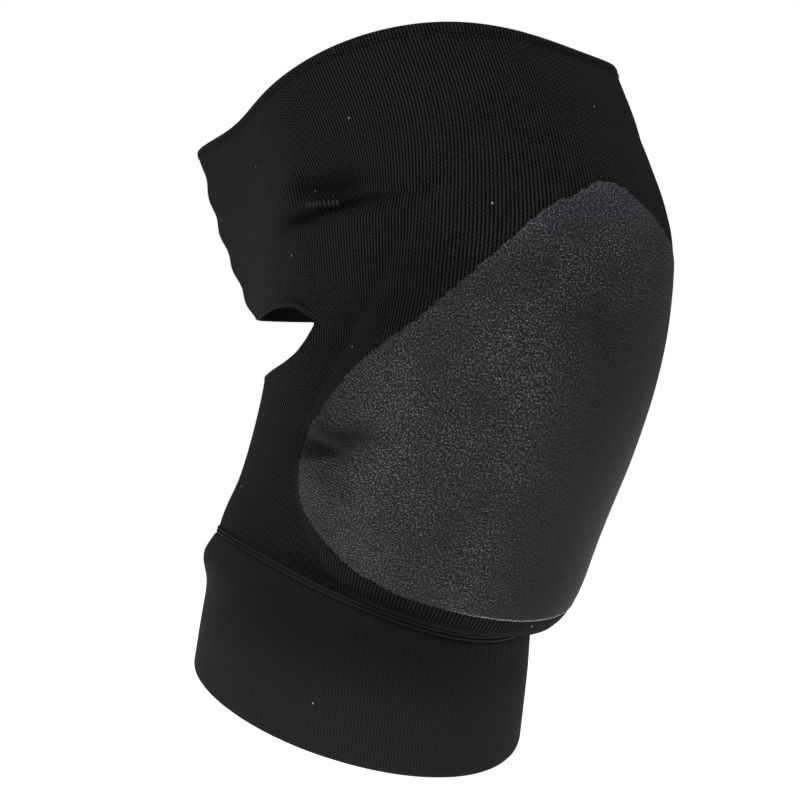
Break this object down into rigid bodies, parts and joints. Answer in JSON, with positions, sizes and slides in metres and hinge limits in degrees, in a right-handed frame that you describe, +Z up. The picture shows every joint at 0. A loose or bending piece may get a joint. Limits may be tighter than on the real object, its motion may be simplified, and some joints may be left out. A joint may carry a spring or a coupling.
{
  "type": "knee pad",
  "caption": "Knitted volleyball knee pad in its worn shape, with a coated foam front, a cut-out behind the knee, gathered side darts and a ribbed calf cuff.",
  "frame": {"origin": "middle of the knee inside the sleeve", "axes": "+Z up along the leg, -Y to the front of the knee, -X to the wearer's right"},
  "size_m": [0.1384, 0.2016, 0.2448],
  "materials": {
    "knit": "matte rib knit",
    "coating": "pebbled satin coating on knit",
    "foam": "matte foam",
    "cuff_knit": "matte double rib knit",
    "thread": "matte thread"
  },
  "bodies": {
    "root": {"knit_sleeve": "knit", "coated_panel": "coating", "foam_pad": "foam", "thigh_hem": "knit", "cutout_hem": "knit", "cuff_seam": "thread", "calf_cuff": "cuff_knit", "right_thigh_tack": "thread", "left_thigh_tack": "thread"}
  },
  "joints": []
}
